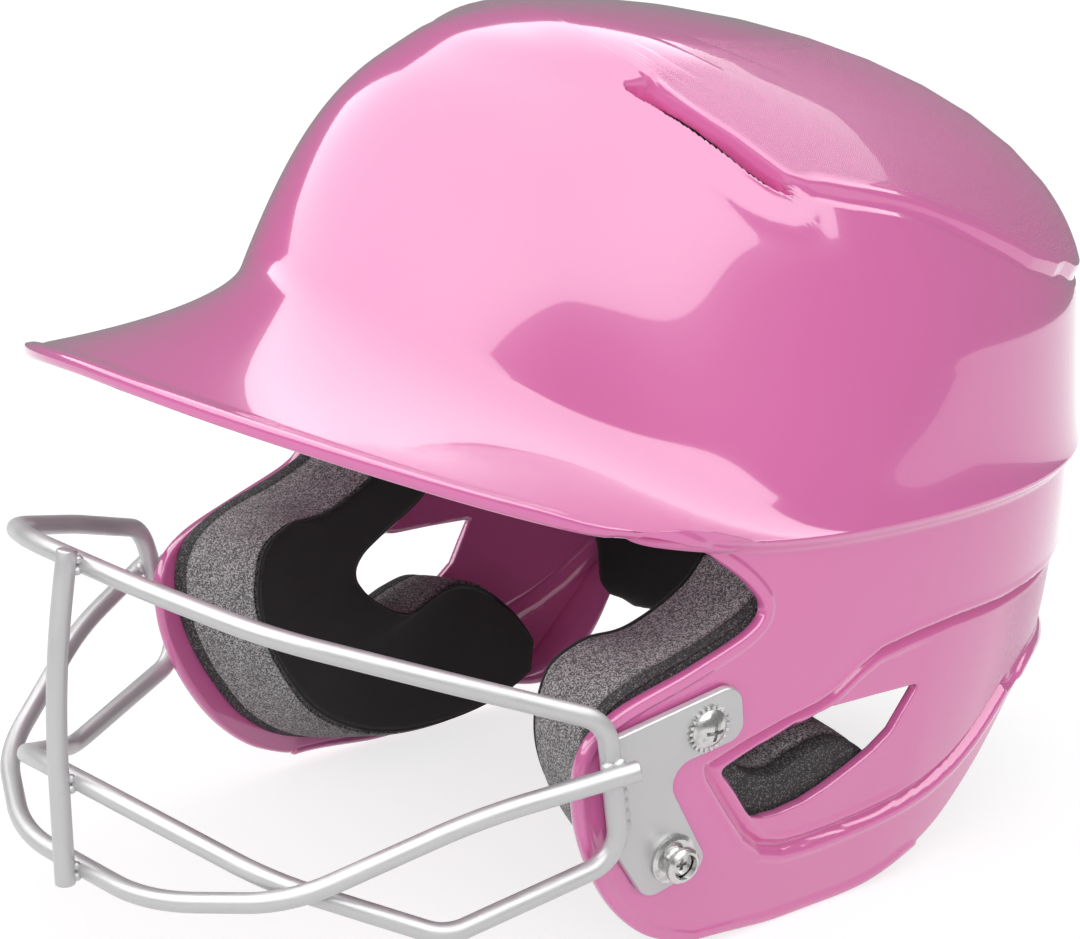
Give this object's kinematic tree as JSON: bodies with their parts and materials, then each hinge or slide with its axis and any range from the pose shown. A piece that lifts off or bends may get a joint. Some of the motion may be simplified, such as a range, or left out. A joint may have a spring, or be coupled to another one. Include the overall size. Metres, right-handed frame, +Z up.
{
  "type": "batting helmet with face mask",
  "caption": "Bump-cap shaped batting helmet with a bill, two ear flaps, foam jaw pads and a bolted wire face mask.",
  "frame": {"origin": "on the ground under the middle of the helmet's length, in its plane of symmetry", "axes": "+Z up, -Y forward along the bill, +X to the wearer's left"},
  "size_m": [0.228, 0.3422, 0.2429],
  "materials": {
    "shell_gloss": "high gloss",
    "pad_black": "matt knit over foam",
    "speckled_foam": "closed cell foam with pale flecks",
    "mask_paint": "silver paint, semi gloss",
    "plated_steel": "zinc plated"
  },
  "bodies": {
    "root": {"shell": "shell_gloss", "crown_pad": "pad_black", "brow_pad": "pad_black", "temple_pad_left": "pad_black", "temple_pad_right": "pad_black", "back_pad": "pad_black", "nape_pad": "pad_black", "jaw_backing_left": "pad_black", "jaw_backing_right": "pad_black", "jaw_foam_left": "speckled_foam", "jaw_foam_right": "speckled_foam", "jaw_cover_left": "pad_black", "jaw_cover_right": "pad_black", "frame_loop": "mask_paint", "lower_wire": "mask_paint", "centre_bar": "mask_paint", "plate_left": "mask_paint", "plate_right": "mask_paint", "weld_beads": "mask_paint", "truss_screws": "plated_steel", "toothed_washers": "plated_steel", "snap_studs": "plated_steel", "stud_screws": "plated_steel", "tee_nuts": "plated_steel"}
  },
  "joints": []
}
